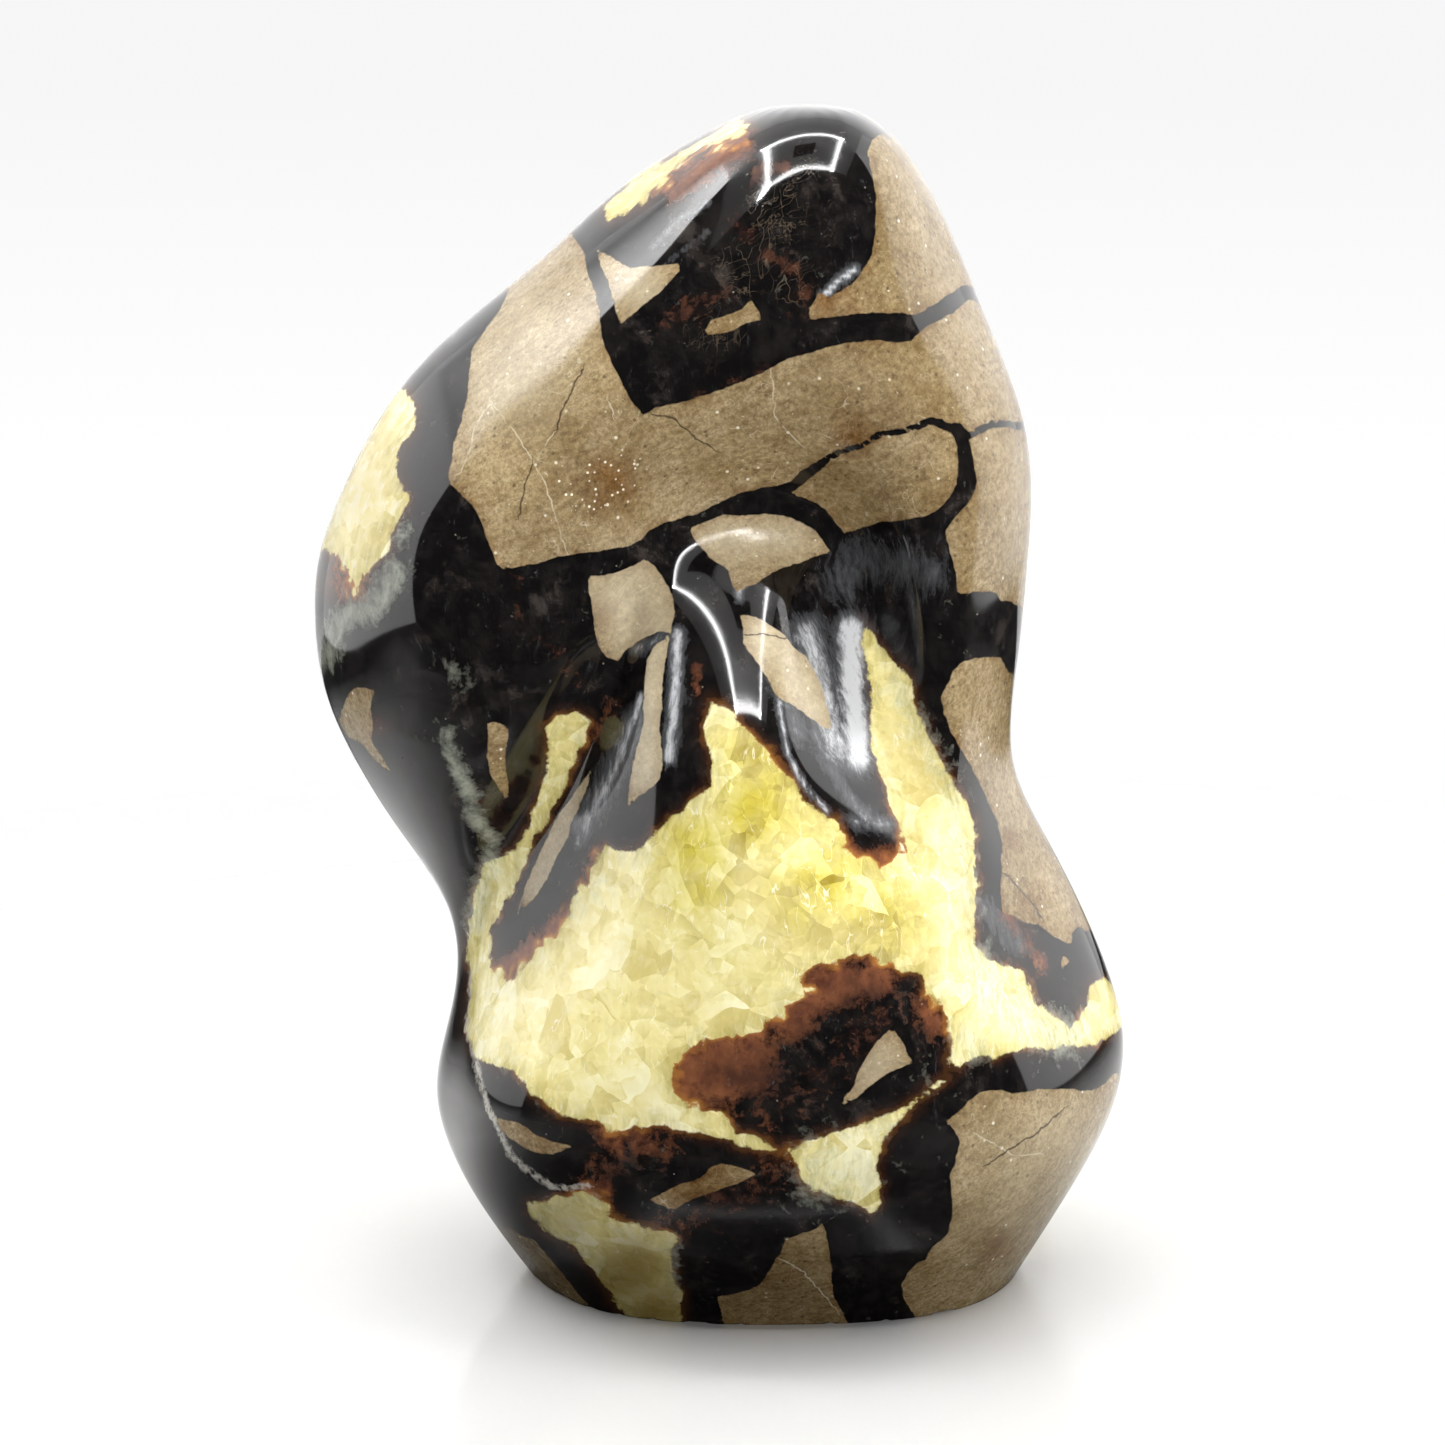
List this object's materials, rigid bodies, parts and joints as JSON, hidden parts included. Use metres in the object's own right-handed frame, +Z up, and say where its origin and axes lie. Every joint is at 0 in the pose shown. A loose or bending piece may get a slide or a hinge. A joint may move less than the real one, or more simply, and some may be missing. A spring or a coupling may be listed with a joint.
{
  "type": "polished septarian stone",
  "caption": "Free-standing polished freeform of septarian stone, a leaning rounded upper lobe over a flaring lower body, cut flat underneath",
  "frame": {"origin": "on the table, at the middle of the flat cut that the stone stands on", "axes": "+Z up; -Y is the face shown in the picture; +X to the right of that face. The upper lobe leans towards -X"},
  "size_m": [0.0963, 0.0634, 0.1385],
  "materials": {
    "polished_stone": "polished natural stone, near mirror gloss; tan limestone, black-brown aragonite and yellow calcite"
  },
  "bodies": {
    "root": {"nodule": "polished_stone"}
  },
  "joints": []
}
